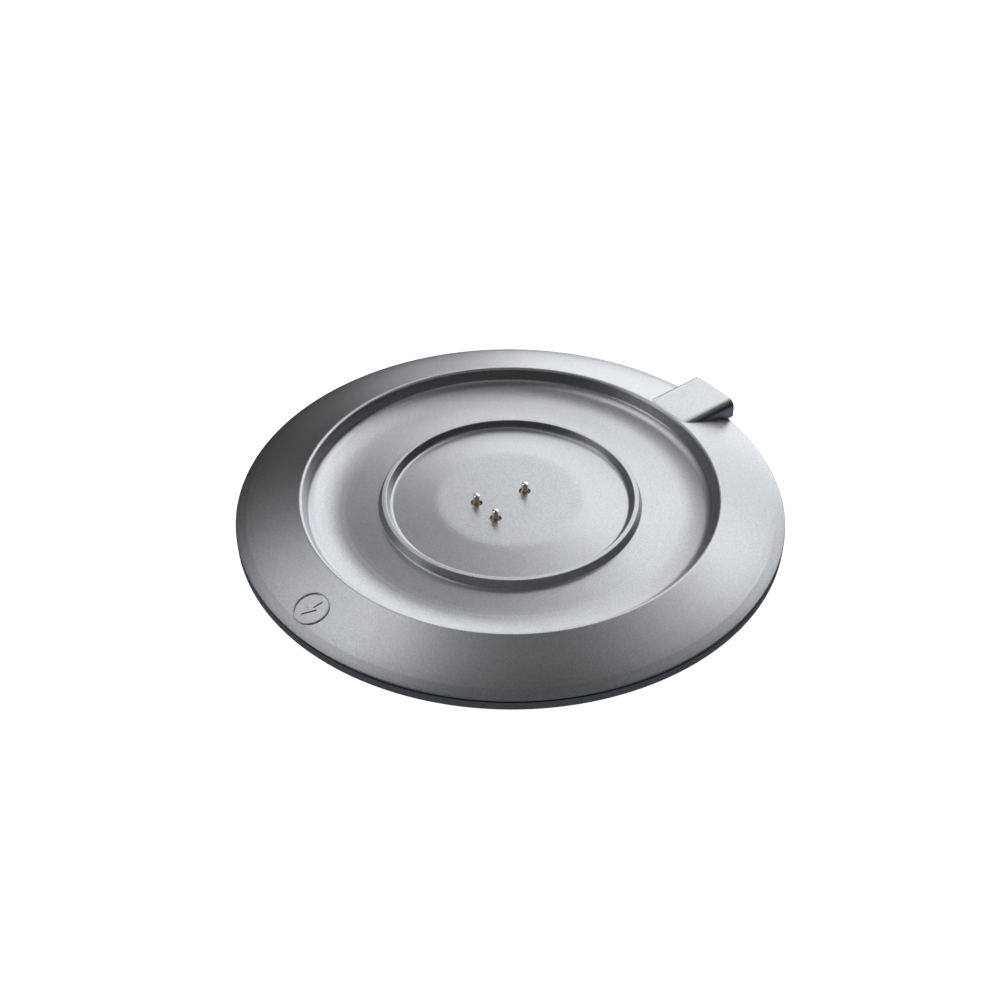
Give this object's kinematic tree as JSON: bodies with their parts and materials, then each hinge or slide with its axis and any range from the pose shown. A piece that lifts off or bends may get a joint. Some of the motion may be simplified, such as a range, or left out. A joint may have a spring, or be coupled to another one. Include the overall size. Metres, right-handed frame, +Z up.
{
  "type": "charging dock",
  "caption": "Round charging dock: a dished disc with a raised locating ring, sprung contact pins at its centre and a power port in a block on its sloping rim.",
  "frame": {"origin": "on the table, on the axis of the round body", "axes": "+Z up, +Y towards the power port, -Y towards the charge mark on the rim"},
  "size_m": [0.16, 0.1615, 0.0109],
  "materials": {
    "cover": "satin dark grey with a fine metallic fleck",
    "shell": "satin darker grey with a fine metallic fleck",
    "foot_rubber": "matte",
    "plated_steel": "zinc plated",
    "black_plastic": "moulded",
    "silicone": "matte",
    "circuit_board": "solder mask",
    "chip_resin": "moulded resin",
    "ferrite": "pressed ferrite",
    "capacitor_ceramic": "fired ceramic with tinned ends",
    "white_plastic": "moulded",
    "port_steel": "drawn stainless",
    "lead_red": "extruded insulation",
    "lead_black": "extruded insulation",
    "pin_nickel": "plated and polished",
    "barrel_gold": "gold plated",
    "spring_steel": "drawn wire",
    "screw_steel": "zinc plated"
  },
  "bodies": {
    "housing": {"top_cover": "cover", "bottom_shell": "shell", "foot_ring": "foot_rubber", "ballast_plate": "plated_steel", "contact_carrier": "black_plastic", "contact_gasket": "silicone", "main_board": "circuit_board", "controller_chip": "chip_resin", "power_inductor": "ferrite", "capacitor_1": "capacitor_ceramic", "capacitor_2": "capacitor_ceramic", "board_connector": "white_plastic", "port_board": "circuit_board", "port_connector": "white_plastic", "port_shell": "port_steel", "port_tongue": "black_plastic", "power_lead_red": "lead_red", "power_lead_black": "lead_black", "pin_barrel_1": "barrel_gold", "pin_spring_1": "spring_steel", "pin_barrel_2": "barrel_gold", "pin_spring_2": "spring_steel", "pin_barrel_3": "barrel_gold", "pin_spring_3": "spring_steel", "case_screw_1": "screw_steel", "case_screw_2": "screw_steel", "case_screw_3": "screw_steel", "case_screw_4": "screw_steel", "board_screw_1": "screw_steel", "board_screw_2": "screw_steel", "board_screw_3": "screw_steel", "port_screw_1": "screw_steel", "port_screw_2": "screw_steel"},
    "pin_1": {"contact_pin_1": "pin_nickel"},
    "pin_2": {"contact_pin_2": "pin_nickel"},
    "pin_3": {"contact_pin_3": "pin_nickel"}
  },
  "joints": [
    {"name": "pin_1_travel", "type": "slide", "parent": "housing", "child": "pin_1", "axis": [0, 0, -1], "range_m": [0, 0.0015], "stiffness_N_per_m": 500, "springref_m": -0.0006, "deforming": ["pin_spring_1"]},
    {"name": "pin_2_travel", "type": "slide", "parent": "housing", "child": "pin_2", "axis": [0, 0, -1], "range_m": [0, 0.0015], "stiffness_N_per_m": 500, "springref_m": -0.0006, "deforming": ["pin_spring_2"]},
    {"name": "pin_3_travel", "type": "slide", "parent": "housing", "child": "pin_3", "axis": [0, 0, -1], "range_m": [0, 0.0015], "stiffness_N_per_m": 500, "springref_m": -0.0006, "deforming": ["pin_spring_3"]}
  ]
}
